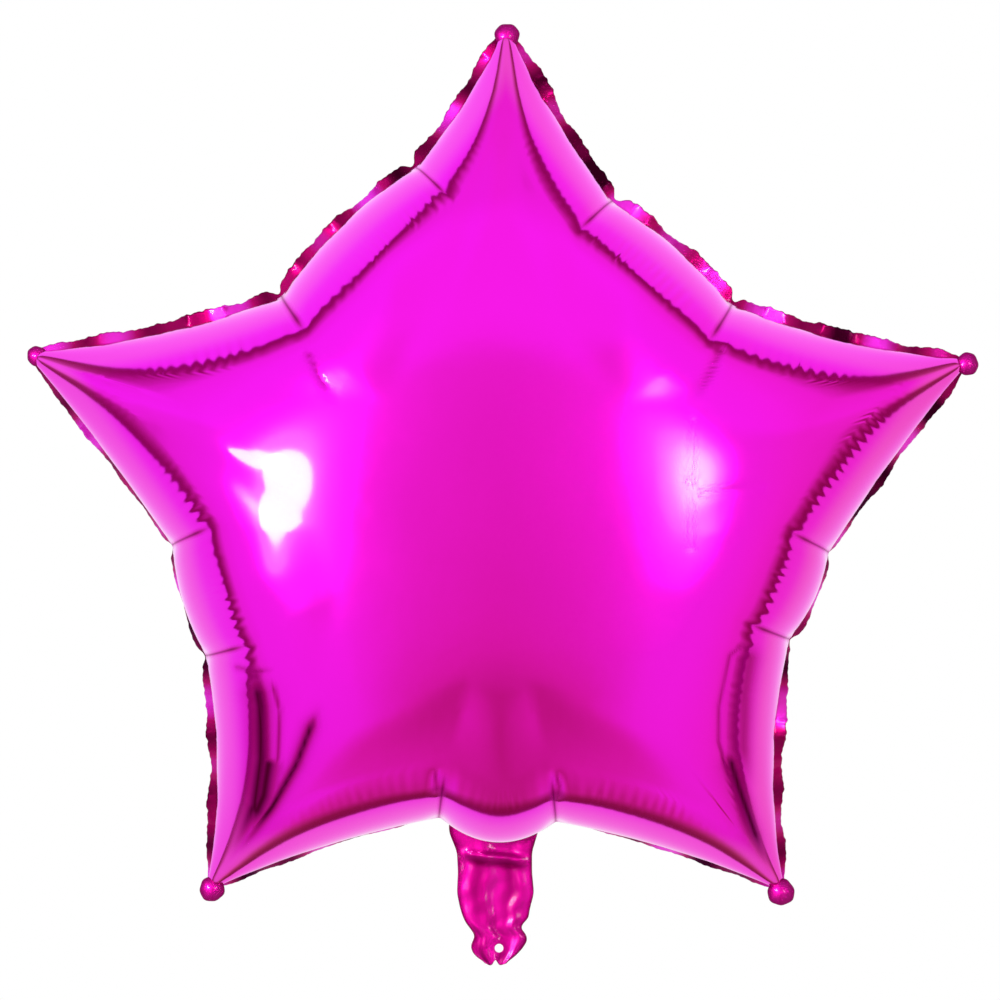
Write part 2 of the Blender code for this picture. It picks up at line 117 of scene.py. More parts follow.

# The pinches: each a fine line with painted shade in a wider dent. Their widths are stations
PINCH_LINE_DEPTH = 0.0002
PINCH_LINE_STEPS = 1.1
PINCH_DENT_DEPTH = 0.0010
PINCH_DENT_STEPS = 5.0
PINCH_SHADE = 0.85

# Creases that run in from the pinches of the notches, each a line over the photograph, and the
# depth, the width and the painted shade at the bottom that they share
PINCH_CREASES = (
    ((716, 350), (704, 375), (690, 402)),
    ((313, 356), (326, 380), (340, 402)),
    ((240, 662), (262, 665), (284, 664)),
    ((438, 788), (438, 776), (437, 760)),
    ((557, 794), (558, 780), (552, 762)),
)
PINCH_CREASE_FORM = (0.0006, 0.0014, 0.40)

# Longer folds of the two lower legs' front: each a line over the photograph, its depth, its width
# and the painted shade along it
FOLDS = (
    (((262, 668), (267, 700), (266, 752), (258, 800), (222, 872)), 0.0010, 0.0050, 1.00),
    (((276, 748), (268, 790), (246, 836)), 0.0002, 0.0060, 1.00),
    (((279, 672), (287, 704), (284, 750), (270, 796)), 0.0002, 0.0013, 0.60),
    (((323, 704), (302, 757), (276, 802), (232, 862)), 0.0006, 0.0028, 1.00),
    (((742, 636), (722, 650), (712, 700), (713, 735), (724, 765), (742, 800)),
     0.0003, 0.0011, 0.50),
    (((722, 744), (736, 785), (752, 828), (772, 878)), 0.0006, 0.0038, 1.00),
    (((745, 638), (738, 690), (738, 740), (752, 800)), 0.0002, 0.0056, 0.55),
)

# Thin creases by the right highlight, drawn in the film's finish: the two ends of each, its height
# in millimetres and its width
FINE_CREASES = (
    ((686, 425), (683, 480), -0.12, 0.0034),
    ((683, 480), (684, 545), -0.12, 0.0034),
    ((694, 494), (750, 488), -0.18, 0.0032),
)

# The seal's flange
FLANGE_WIDTH = 0.0062
FLANGE_THICKNESS = 0.0003
FLANGE_OVERLAP = 0.0009     # how far it starts inside the seam
FLANGE_COLUMNS = 1500
FLANGE_ROWS = 7
RUFFLE_HEIGHT = 0.0004
RUFFLE_LENGTH = 0.0150

# The little lobe on each point: its centre and radius in the photograph
LOBES = (
    ((507, 36), 12.5), ((37, 356), 10.0), ((212, 889), 12.5), ((781, 892), 13.5),
    ((967, 364), 11.5),
)
LOBE_FLATNESS = 0.62

# The filling neck that hangs as a tail: rows of the photograph with its left and right edges there
TAIL_EDGES = (
    (790, 452, 541), (815, 449, 541), (832, 449, 538), (852, 457, 532), (872, 458, 532),
    (893, 457, 534), (908, 460, 530), (920, 464, 528), (926, 468, 519), (933, 474, 525),
    (938, 475, 528), (945, 470, 525), (956, 474, 516), (966, 486, 505),
)
TAIL_ROUNDING = (-4, -2, 0, 2, 4)      # rows over which its edges are evened out
TAIL_THICKNESS = 0.0004
TAIL_COLUMNS = 56
TAIL_ROWS = 170
TUCK_ROW = 857
TIE_HOLE_COLUMN = 499
TIE_HOLE_RADIUS = 0.0021

# The film's colours: plain, in painted shade, and in the darkest painted shade, as in creased film
BAG_COLOURS = ((0.86, 0.002, 0.68), (0.46, 0.0, 0.24), (0.07, 0.0, 0.02))
MARGIN_COLOURS = ((0.80, 0.02, 0.62), (0.42, 0.0, 0.12), (0.03, 0.0, 0.01))
NECK_COLOURS = ((0.34, 0.001, 0.17), (0.29, 0.0, 0.125), (0.15, 0.0, 0.05))
BAG_ROUGHNESS = 0.075
MARGIN_ROUGHNESS = 0.32
NECK_ROUGHNESS = 0.46
BORDER_COLOUR = (0.88, 0.055, 0.63)     # of the bag next to the seam
EDGE_TINT = (1.0, 0.60, 0.95)           # where the film is seen edge-on

# The pale room that the foil mirrors. Each table goes along one direction of the room from 0 to 1,
# which is left to right, front to back or floor to ceiling, and gives a level or a colour at places
# there. A dark edge runs round the room where its walls end beside the balloon, and these move it
# back
EDGE_BACK_BY_HEIGHT = ((0.0, 0.17), (0.08, 0.17), (0.35, 0.0), (0.94, 0.0), (0.98, 0.13))
EDGE_UPPER_HALF = ((0.52, 0.0), (0.60, 1.0))
EDGE_BACK_AT_SIDES = ((0.03, 0.14), (0.10, 0.0), (0.90, 0.0), (0.97, 0.14))
WALLS = (
    (0.0, 1.0), (0.19, 1.0), (0.33, (0.93, 0.9, 0.86)), (0.385, (0.66, 0.6, 0.48)),
    (0.425, (0.44, 0.3, 0.24)), (0.46, (0.29, 0.12, 0.12)), (0.50, (0.26, 0.10, 0.10)),
    (0.515, 0.9), (0.53, (1.0, 1.0, 1.03)),
)
# How dusky the room is in front of the balloon, from side to side and from the floor up, and how
# dusky it is low down on all sides. Then where that ends toward the back, and its colours from the
# dimmest on
DUSK_ACROSS = (
    (0.28, 0.0), (0.37, 0.08), (0.42, 0.4), (0.5, 1.0), (0.58, 0.45), (0.63, 0.1), (0.72, 0.0),
)
DUSK_UP = (
    (0.0, 0.62), (0.12, 0.72), (0.33, 0.80), (0.42, 0.5), (0.51, 0.33), (0.595, 0.22),
    (0.625, 0.06), (0.66, 0.0),
)
DUSK_LOW = ((0.0, 0.16), (0.15, 0.10), (0.30, 0.03), (0.42, 0.0))
DUSK_IN_FRONT = ((0.42, 1.0), (0.50, 0.0))
DUSK_COLOURS = (
    (0.2, (0.56, 0.5, 0.28)), (0.5, (0.76, 0.7, 0.50)), (0.75, (0.89, 0.85, 0.76)), (1.0, 1.0),
)
TINT_UP = (
    (0.595, 1.0), (0.625, (1.07, 1.0, 1.17)), (0.9, (1.07, 1.0, 1.15)), (1.0, (1.0, 1.0, 0.98)),
)
TINT_ACROSS = (
    (0.0, (1.0, 1.0, 1.12)), (0.36, (1.02, 1.0, 1.12)), (0.45, 1.0), (0.55, 1.0),
    (0.66, (1.02, 1.0, 1.08)), (0.78, 1.0), (0.9, (0.98, 1.0, 0.86)),
)
# The glow of each highlight in that room: its direction, and how bright it is at these cosines of
# the angle from there
GLOWS = (
    ((-0.40, -0.915, 0.052),
     ((0.966, 0.0), (0.976, 0.4), (0.983, 1.2), (0.988, 4.0), (0.9925, 12.0))),
    ((0.315, -0.947, 0.055),
     ((0.984, 0.0), (0.9905, 1.2), (0.994, 5.0), (0.997, 22.0), (0.9993, 70.0))),
)

# The two lamps of the left highlight, each seen from the star at these degrees from the camera
SOFTBOXES = (
    dict(name="left_softbox", azimuth=-24.0, elevation=3.0, width=0.47, height=0.35),
    dict(name="left_strip", azimuth=-33.5, elevation=5.6, width=0.74, height=0.15),
)
SOFTBOX_DISTANCE = 2.2
SOFTBOX_RADIANCE = 90
CAMERA_DISTANCE = 2.0
SENSOR_WIDTH = 36


def seen(pixel):
    """A place in the photograph as metres to the right of the star's centre and above it."""
    return np.array([(pixel[0] - CENTRE_PIXEL[0]) * PIXEL, (CENTRE_PIXEL[1] - pixel[1]) * PIXEL])


def unit(vector):
    return vector / np.linalg.norm(vector, axis=-1, keepdims=True)


def smooth_step(value, low, high):
    share = np.clip((value - low) / (high - low), 0, 1)
    return share * share * (3 - 2 * share)


def half_leg(point, pinch, far_pinch, hollow, bulge):
    """The seam from a leg's point to the middle of a notch, and the inner end of each row on the
    spine."""
    axis = unit(-point)
    centre = point + axis * POINT_RADIUS
    to_pinch = unit(pinch - centre)
    across = np.array([-axis[1], axis[0]])
    across = across if across @ to_pinch > 0 else -across
    out = np.array([-to_pinch[1], to_pinch[0]])
    out = out if out @ axis < 0 else -out
    slope = math.acos(float(axis @ to_pinch))
    run = np.linalg.norm(pinch - centre)
    arc = (math.pi / 2 - slope) * POINT_RADIUS
    chord = far_pinch - pinch
    notch_out = np.array([-chord[1], chord[0]])
    notch_out = unit(notch_out if notch_out @ pinch > 0 else -notch_out)
    half_notch = np.linalg.norm(chord) / 2

    def place(travel):
        if travel < arc:
            turn = travel / POINT_RADIUS
            forward = axis * POINT_RADIUS * math.cos(turn)
            return centre - forward + across * POINT_RADIUS * math.sin(turn)
        if travel < arc + run:
            share = (travel - arc) / run
            bow = 4 * hollow * share * (1 - share)
            return centre + out * POINT_RADIUS * (1 - share) + to_pinch * run * share - out * bow
        share = min(0.5, 0.5 * (travel - arc - run) / half_notch)
        return pinch + chord * share + notch_out * bulge * 4 * share * (1 - share)

    total = arc + run + half_notch
    seam, feet = [], []
    for step in range(SPINE_STEPS + 1):
        depth = SPINE_RUN * (step / SPINE_STEPS) ** 1.5
        travel = arc * min(1, depth / POINT_RADIUS) + max(0, depth - POINT_RADIUS) * math.cos(slope)
        seam.append(place(travel))
        feet.append(point + axis * depth)
    for step in range(1, OPEN_STEPS + 1):
        seam.append(place(travel + (total - travel) * step / OPEN_STEPS))
    return np.array(seam), np.array(feet)


def whole_outline():
    """The seam anticlockwise from the top point, and where the row from each station ends."""
    seam = np.zeros((STATIONS, 2))
    ends = np.full((STATIONS, 2), np.nan)
    for number, leg in enumerate(LEGS):
        tip = number * LEG_STEPS
        before = LEGS[number - 1]
        sides = (
            (1, leg["pinches"], leg["hollows"][1], leg["bulge"]),
            (-1, before["pinches"][::-1], leg["hollows"][0], before["bulge"]),
        )
        point = seen(leg["point"])
        for way, (pinch, far_pinch), hollow, bulge in sides:
            points, feet = half_leg(point, seen(pinch), seen(far_pinch), hollow, bulge)
            at = (tip + way * np.arange(len(points))) % STATIONS
            seam[at] = points
            ends[at[:len(feet)]] = feet
    return seam, ends


def blurred(values, reach):
    """A running average round the ring."""
    weights = np.hanning(2 * reach + 1)
    shifts = range(-reach, reach + 1)
    total = sum(weight * np.roll(values, shift, axis=0) for shift, weight in zip(shifts, weights))
    return total / weights.sum()


def along_seam(key):
    """What each leg's row says of its two sides and its notch, spread over the seam's stations."""
    places, amounts = [], []
    for number, (before, after, notch) in enumerate(leg[key] for leg in LEGS):
        tip = number * LEG_STEPS
        places += [tip - SIDE_MIDDLE, tip, tip + SIDE_MIDDLE, tip + HALF_STEPS]
        amounts += [before, (before + after) / 2, after, notch]
    return np.interp(np.arange(STATIONS), places, amounts, period=STATIONS)


def row_ends(seam, ends):
    """Rows run square to the seam; those from a notch and its two pinches fan out evenly."""
    tangent = np.roll(seam, -1, axis=0) - np.roll(seam, 1, axis=0)
    inward = unit(np.column_stack([-tangent[:, 1], tangent[:, 0]]))
    on_spine = ~np.isnan(ends[:, 0])
    to_foot = np.where(on_spine[:, None], ends - seam, inward)
    length = np.linalg.norm(to_foot, axis=1)
    toward_foot = to_foot / np.maximum(length, 1e-6)[:, None]
    direction = np.where((length < 1e-6)[:, None], inward, toward_foot)
    station = np.arange(STATIONS)
    past_point = (station + HALF_STEPS) % LEG_STEPS - HALF_STEPS
    spine_end = (station - past_point + np.sign(past_point) * SPINE_STEPS) % STATIONS
    opened = np.abs(past_point) - SPINE_STEPS
    ease = smooth_step(opened, 0, FAN_STEPS)[:, None]
    fanned = unit(blurred(direction, FAN_BLUR))
    direction = unit(direction[spine_end] * (1 - ease) + fanned * ease)
    start = length[spine_end]
    length = start + (BAND - start) * smooth_step(opened, 0, WIDEN_STEPS)
    return np.where(on_spine[:, None], ends, seam + direction * length[:, None])


def deselect():
    bpy.ops.object.select_all(action="DESELECT")


def select_only(*pieces):
    deselect()
    for piece in pieces:
        piece.select_set(True)
    bpy.context.view_layer.objects.active = pieces[0]


def drawn_in_disc(name, stations, halvings, close):
    """A flat disc drawn in ring by ring from its rim. Each number in halvings is how many rings
    follow before every second edge of the innermost one is merged away. A ring's radius tells its
    number."""
    deselect()
    rings = sum(halvings)
    bpy.ops.mesh.primitive_circle_add(vertices=stations, radius=2 * rings, fill_type="NOTHING")
    disc = bpy.context.object
    disc.name = name
    disc.data.name = name
    bpy.ops.object.mode_set(mode="EDIT")
    bpy.ops.mesh.select_mode(type="EDGE")
    bpy.ops.mesh.select_all(action="SELECT")
    radius = 2 * rings
    for number, count in enumerate(halvings):
        for step in range(count):
            bpy.ops.mesh.extrude_region()
            shrink = (radius - 1) / radius
            bpy.ops.transform.resize(value=(shrink, shrink, 1))
            radius -= 1
            if step == 0 and number > 0:
                select_ring(disc, radius, stations, True)
                bpy.ops.mesh.merge(type="COLLAPSE")
                stations //= 2
                select_ring(disc, radius, stations, False)
    if close:
        bpy.ops.mesh.extrude_region()
        bpy.ops.mesh.merge(type="CENTER")
    bpy.ops.object.mode_set(mode="OBJECT")
    return disc


def select_ring(disc, radius, stations, second_only):
    """Selects the innermost ring's edges, or every second one of them."""
    bpy.ops.mesh.select_all(action="DESELECT")
    work = bmesh.from_edit_mesh(disc.data)
    for edge in work.edges:
        if all(abs(vert.co.xy.length - radius) < 0.3 for vert in edge.verts):
            middle = (edge.verts[0].co + edge.verts[1].co) / 2
            turn = (math.atan2(middle.y, middle.x) - math.pi / 2) / (2 * math.pi) * stations
            if not second_only or math.floor(turn) % 2 == 0:
                edge.select_set(True)
    bmesh.update_edit_mesh(disc.data)


def coordinates(piece):
    places = np.zeros(len(piece.data.vertices) * 3, np.float32)
    piece.data.vertices.foreach_get("co", places)
    return places.reshape(-1, 3).astype(float)


def set_coordinates(piece, places):
    piece.data.vertices.foreach_set("co", np.asarray(places, np.float32).ravel())
    piece.data.update()


def ring_and_station(disc, stations, rings):
    """Each vertex of a disc as its ring, 0 at the rim, and its station anticlockwise from the
    top."""
    places = coordinates(disc)
    ring = np.round(2 * rings - np.hypot(places[:, 0], places[:, 1]))
    turn = (np.arctan2(places[:, 1], places[:, 0]) - math.pi / 2) / (2 * math.pi)
    station = np.round(2 * turn * stations) / 2
    return ring, np.mod(station, stations)


def at_station(values, station):
    """Values round a ring, read between its stations."""
    low = np.floor(station).astype(int) % len(values)
    high = (low + 1) % len(values)
    share = station - np.floor(station)
    share = share[:, None] if values.ndim > 1 else share
    return values[low] * (1 - share) + values[high] * share


def keep_numbers(piece, name, values):
    layer = piece.data.attributes.new(name, "FLOAT", "POINT")
    layer.data.foreach_set("value", np.asarray(values, np.float32))


def kept_numbers(piece, name):
    values = np.zeros(len(piece.data.vertices), np.float32)
    piece.data.attributes[name].data.foreach_get("value", values)
    return values.astype(float)


def join_and_weld(pieces):
    select_only(*pieces)
    bpy.ops.object.join()
    bpy.ops.object.mode_set(mode="EDIT")
    bpy.ops.mesh.select_all(action="SELECT")
    bpy.ops.mesh.remove_doubles(threshold=WELD_GAP)
    bpy.ops.mesh.normals_make_consistent(inside=False)
    bpy.ops.object.mode_set(mode="OBJECT")
    return bpy.context.object


def flat_sheet(name, seam, ends, border_rows, belly_rings):
    """One sheet laid flat: a border of rows from the seam, and a belly of rings inside it."""
    length = np.linalg.norm(ends - seam, axis=1)
    border = drawn_in_disc(name, STATIONS, (border_rows,), close=False)
    ring, station = ring_and_station(border, STATIONS, border_rows)
    share = (ring / border_rows) ** ROW_CROWDING
    rows = at_station(seam, station) * (1 - share)[:, None]
    rows = rows + at_station(ends, station) * share[:, None]
    set_coordinates(border, np.column_stack([rows, np.zeros(len(rows))]))
    keep_numbers(border, "station", station)
    keep_numbers(border, "inset", share * at_station(length, station))
    keep_numbers(border, "room", at_station(length, station))

    opened = SPINE_STEPS + np.arange(2 * OPEN_STEPS)
    open_ends = np.concatenate([number * LEG_STEPS + opened for number in range(len(LEGS))])
    edge = ends[open_ends]
    count = len(edge)
    reach = np.hypot(edge[:, 0], edge[:, 1])
    angle = np.unwrap(np.arctan2(edge[:, 1], edge[:, 0]))
    even = angle[0] + 2 * math.pi * np.arange(count) / count
    belly = drawn_in_disc(name + "_belly", count, belly_rings, close=True)
    rings = sum(belly_rings)
    ring, station = ring_and_station(belly, count, rings)
    centre = np.hypot(*coordinates(belly)[:, :2].T) < 0.5
    share = np.where(centre, 0.0, np.interp(ring, *belly_spacing(belly_rings)))
    turned = at_station(angle - even, station)
    heading = even[0] + 2 * math.pi * station / count + turned * share ** RING_TURNING
    edge_reach = at_station(reach, station)
    mean = reach.min() * 0.5 + reach.mean() * 0.5
    radius = share * (mean + (edge_reach - mean) * share ** RING_ROUNDING)
    rows = np.column_stack([np.cos(heading), np.sin(heading)]) * radius[:, None]
    set_coordinates(belly, np.column_stack([rows, np.zeros(len(rows))]))
    whole = np.floor(station).astype(int)
    keep_numbers(belly, "station", open_ends[whole % count] + station % 1)
    keep_numbers(belly, "inset", length[open_ends][whole] + edge_reach - radius)
    keep_numbers(belly, "room", at_station(length[open_ends], station))
    return join_and_weld([border, belly])


def belly_spacing(belly_rings):
    """Ring numbers, and each one's share of the way from the crown to the belly's edge."""
    steps = []
    for halved, count in enumerate(belly_rings):
        steps += [2.0 ** halved ** RING_GROWTH] * count
    steps = np.array(steps)
    steps[-1] *= LAST_RING
    ring = np.arange(len(steps) + 1)
    share = 1 - np.concatenate([[0], np.cumsum(steps)]) / (steps.sum() + steps[-1])
    return ring, share


def flat_triangles(sheet):
    sheet.data.calc_loop_triangles()
    corners = np.zeros(len(sheet.data.loop_triangles) * 3, np.int32)
    sheet.data.loop_triangles.foreach_get("vertices", corners)
    return corners.reshape(-1, 3)


def inflate(sheet):
    """Height of the blown-up sheet: a film held at the seam swells under even pressure, found by
    conjugate gradients on the sheet's own mesh, and the belly then flattens as real film does."""
    plane = coordinates(sheet)[:, :2]
    corners = flat_triangles(sheet)
    count = len(plane)
    pairs, weights = [], []
    for turn in range(3):
        a, b, c = (corners[:, (turn + k) % 3] for k in range(3))
        to_b, to_c = plane[b] - plane[a], plane[c] - plane[a]
        cross = np.abs(to_b[:, 0] * to_c[:, 1] - to_b[:, 1] * to_c[:, 0])
        area = cross / 2
        weights.append(0.5 * (to_b * to_c).sum(axis=1) / np.maximum(cross, 1e-16))
        pairs.append(np.sort(np.column_stack([b, c]), axis=1))
    pairs = np.concatenate(pairs)
    weights = np.concatenate(weights)
    load = np.bincount(corners.ravel(), np.repeat(area / 3, 3), count)
    key, where = np.unique(pairs[:, 0].astype(np.int64) * count + pairs[:, 1], return_inverse=True)
    weights = np.bincount(where.ravel(), weights)
    first, second = key // count, key % count
    held = kept_numbers(sheet, "inset") < 1e-7
    free = ~held

    def pull(values):
        flow = weights * (values[first] - values[second])
        return (np.bincount(first, flow, count) - np.bincount(second, flow, count)) * free

    scale = np.bincount(first, weights, count) + np.bincount(second, weights, count)
    scale = np.where(free, np.maximum(scale, 1e-9), 1.0)
    swell = np.zeros(count)
    rest = load * free
    ready = rest / scale
    heading = ready.copy()
    energy = rest @ ready
    start = energy
    for _ in range(SOLVER_STEPS):
        pulled = pull(heading)
        step = energy / (heading @ pulled)
        swell += step * heading
        rest -= step * pulled
        ready = rest / scale
        fresh = rest @ ready
        if fresh < start * SOLVER_ERROR:
            break
        heading = ready + heading * fresh / energy
        energy = fresh
    rise = np.sqrt(np.maximum(2 * swell, 0))
    return rise / (1 + (rise / HALF_DEPTH) ** FLATTENING) ** (1 / FLATTENING)


def normals(sheet):
    values = np.zeros(len(sheet.data.vertices) * 3, np.float32)
    sheet.data.vertex_normals.foreach_get("vector", values)
    values = values.reshape(-1, 3).astype(float)
    return values * np.sign(values[:, 2:3] + 1e-3)


def line_field(plane, pixels, width, fade=0.35):
    """A line of creased film drawn through places of the photograph: 1 on its line, falling off to
    its sides, and fading over the last share of its length."""
    points = np.array([seen(pixel) for pixel in pixels])
    lengths = np.linalg.norm(np.diff(points, axis=0), axis=1)
    starts = np.concatenate([[0], np.cumsum(lengths)])
    nearest = np.full(len(plane), 1e9)
    along = np.zeros(len(plane))
    for start, end, length, passed in zip(points, points[1:], lengths, starts):
        step = (end - start) / length
        share = np.clip((plane - start) @ step, 0, length)
        gap = np.linalg.norm(plane - start - share[:, None] * step, axis=1)
        closer = gap < nearest
        nearest = np.where(closer, gap, nearest)
        along = np.where(closer, passed + share, along)
    share = along / starts[-1]
    ends = np.clip(share / 0.12 + 0.25, 0, 1) * np.clip((1 - share) / fade, 0, 1) ** 0.8
    return np.exp(-np.sqrt(nearest ** 2 + (0.3 * width) ** 2) / width + 0.3) * ends


def wander(values, *waves):
    """Slow unevenness: a sum of sines, each given by its length and its start."""
    turns = (values / length + start for length, start in waves)
    return sum(np.sin(2 * math.pi * turn) for turn in turns) / len(waves)


def pinch_stations(seam):
    """The station nearest to each pinch."""
    places = [seen(pixel) for leg in LEGS for pixel in leg["pinches"]]
    return np.array([np.argmin(np.linalg.norm(seam - place, axis=1)) for place in places])


def pleat_relief(station, inset, room):
    """The gathers that run in from the seam, none where a leg is narrow."""
    count = station / PLEAT_STEPS + 0.22 * wander(station, (83.0, 0.1), (31.0, 0.7))
    uneven = 0.7 + 0.6 * wander(count, (7.3, 0.1), (3.7, 0.4), (17.0, 0.2))
    end = PLEAT_END + PLEAT_END_SPREAD * wander(count, (5.2, 0.3), (2.6, 0.8), (13.0, 0.6))
    strength = at_station(blurred(along_seam("pleats"), PLEAT_BLUR), station)
    depth = FAINT_PLEAT + DEEP_PLEAT * smooth_step(inset, 0.011, 0.0205)
    depth *= (1 - smooth_step(inset, 0.0195, end)) * strength
    depth *= smooth_step(inset, 0, 0.0015) * smooth_step(room, 0.017, 0.0265)
    return depth * uneven * np.cos(2 * math.pi * count)


def swell_relief(station, inset, room):
    """How far the rim's shoulder stands out over the even film."""
    shoulder = smooth_step(inset, 0.010, 0.034) - smooth_step(inset, 0.034, 0.075)
    swell = at_station(blurred(along_seam("swell"), SWELL_BLUR), station)
    return swell * shoulder * smooth_step(room, 0.008, 0.024)


def dress(sheet, height, seam, front):
    """Pleats, pinches and folds, as a move along the blown-up sheet's own normals, and painted
    shade along the pinches, creases and folds.
    """
    plane = coordinates(sheet)[:, :2]
    set_coordinates(sheet, np.column_stack([plane, height]))
    normal = normals(sheet)
    station = kept_numbers(sheet, "station")
    inset = kept_numbers(sheet, "inset")
    room = kept_numbers(sheet, "room")
    move = pleat_relief(station, inset, room)
    move += swell_relief(station, inset, room)
    dark = np.zeros(len(plane))
    for pinch in pinch_stations(seam):
        steps = np.abs((station - pinch + HALF_STEPS) % STATIONS - HALF_STEPS)
        line = np.exp(-(steps / PINCH_LINE_STEPS) ** 2) * (1 - smooth_step(inset, 0.014, 0.030))
        dent = PINCH_DENT_DEPTH * np.exp(-(steps / PINCH_DENT_STEPS) ** 2)
        move -= PINCH_LINE_DEPTH * line + dent * (1 - smooth_step(inset, 0.010, 0.034))
        # Painted shade along each pinch's fine line, fading inward from the seam
        shade = PINCH_SHADE * np.clip(1.3 - steps, 0, 1) * (1 - smooth_step(inset, 0.015, 0.026))
        dark = np.maximum(dark, shade)
    # Each pinch's creases and each fold also get painted shade along their lines
    lines = [(line, *PINCH_CREASE_FORM) for line in PINCH_CREASES] + list(FOLDS if front else ())
    for line, deep, wide, shade in lines:
        if not front:
            line = [(2 * CENTRE_PIXEL[0] - x, y) for x, y in line]
        drawn = line_field(plane, line, wide)
        move -= deep * drawn
        dark = np.maximum(dark, shade * drawn ** 1.5)
    move *= smooth_step(inset, 0, 0.0008)
    # The painted shade, kept for the film's colour
    keep_numbers(sheet, "painted_darkness", dark)
    keep_numbers(sheet, "border", 1 - smooth_step(inset, 0.008, 0.018))
    return np.column_stack([plane, height]) + normal * move[:, None]


def blow_up_bag(seam, ends):
    """The front and the back sheet, welded along the seam."""
    front = flat_sheet("foil_bag", seam, ends, FRONT_ROWS, FRONT_RINGS)
    back = flat_sheet("back", seam, ends, BACK_ROWS, BACK_RINGS)
    for sheet, side in ((front, -1), (back, 1)):
        places = dress(sheet, inflate(sheet), seam, side < 0)
        places[:, 2] = np.maximum(places[:, 2], 0)
        x, up, out = places.T
        set_coordinates(sheet, np.column_stack([x, side * out, CENTRE_HEIGHT + up]))
    bag = join_and_weld([front, back])
    bag.name = "foil_bag"
    bpy.ops.object.shade_smooth()
    return bag


def strip(name, columns, rows):
    """A flat grid, and each vertex's share of the way along it and across it."""
    deselect()
    bpy.ops.mesh.primitive_grid_add(x_subdivisions=columns, y_subdivisions=rows, size=2)
    piece = bpy.context.object
    piece.name = name
    piece.data.name = name
    along, across = (coordinates(piece)[:, :2].T + 1) / 2
    return piece, along, across


def give_thickness(piece, thickness):
    select_only(piece)
    wall = piece.modifiers.new("film", "SOLIDIFY")
    wall.thickness = thickness
    wall.offset = 0.0
    bpy.ops.object.modifier_apply(modifier=wall.name)
    bpy.ops.object.shade_smooth()


def seal_flange(seam):
    """The two films' sealed margin outside the seam, ruffled because the seam has drawn in. Its
    colour has a painted dark reflection in long stretches.
    """
    step = np.linalg.norm(np.roll(seam, -1, axis=0) - seam, axis=1)
    travel = np.concatenate([[0], np.cumsum(step)])
    closed = np.vstack([seam, seam[:1]])
    flange, along, across = strip("seal_flange", FLANGE_COLUMNS, FLANGE_ROWS)
    at = along * travel[-1]
    point = np.column_stack([np.interp(at, travel, closed[:, k]) for k in (0, 1)])
    tangent = blurred(unit(np.roll(seam, -2, axis=0) - np.roll(seam, 2, axis=0)), 5)
    tangent = np.vstack([tangent, tangent[:1]])
    tangent = unit(np.column_stack([np.interp(at, travel, tangent[:, k]) for k in (0, 1)]))
    out = np.column_stack([tangent[:, 1], -tangent[:, 0]])
    station = np.interp(at, travel, np.arange(STATIONS + 1))
    from_point = np.abs((station + HALF_STEPS) % LEG_STEPS - HALF_STEPS)
    pinches = [seen(pixel) for leg in LEGS for pixel in leg["pinches"]]
    from_pinch = np.min([np.linalg.norm(point - place, axis=1) for place in pinches], axis=0)
    show = np.interp(station, np.arange(STATIONS), along_seam("shown"), period=STATIONS)
    show = show * (1 + 0.30 * wander(at, (0.041, 0.2), (0.027, 0.7), (0.066, 0.1)))
    show = np.clip(show, 0.05, 1.0)
    width = FLANGE_WIDTH * (1 + 0.10 * wander(at, (0.0121, 0.3), (0.0067, 0.9), (0.037, 0.5)))
    width *= 0.35 + 0.65 * smooth_step(from_point, 2, 34)
    width *= 0.45 + 0.55 * smooth_step(from_pinch, 0.0005, 0.006)
    phase = at / RUFFLE_LENGTH + 0.35 * wander(at, (0.043, 0.4), (0.029, 0.0))
    ruffle = np.sin(2 * math.pi * phase) + 0.25 * np.sin(2 * math.pi * (1.93 * phase + 0.2))
    ruffle *= 1 + 0.5 * wander(at, (0.025, 0.6), (0.058, 0.1))
    ruffle *= smooth_step(from_point, 4, 40) * (0.4 + 0.6 * smooth_step(from_pinch, 0, 0.008))
    curl = across ** 1.3
    forward = -RUFFLE_HEIGHT * ruffle * curl + width * np.sqrt(1 - show ** 2) * across
    nibbled = across * (1 + 0.05 * wander(at, (0.0049, 0.5), (0.0031, 0.1)))
    reach = width * show * nibbled - FLANGE_OVERLAP
    reach = reach - 0.10 * RUFFLE_HEIGHT * np.abs(ruffle) * curl
    plane = point + out * reach[:, None]
    set_coordinates(flange, np.column_stack([plane[:, 0], forward, CENTRE_HEIGHT + plane[:, 1]]))
    # Painted dark reflection on the flange: set by the legs' table, and darker in long uneven
    # stretches
    shade = np.interp(station, np.arange(STATIONS), along_seam("shade"), period=STATIONS)
    shade += 0.8 * wander(at, (0.075, 0.2), (0.047, 0.6), (0.029, 0.1))
    keep_numbers(flange, "painted_darkness", np.clip(shade, 0, 1))
    flange = join_and_weld([flange])
    give_thickness(flange, FLANGE_THICKNESS)
    return flange


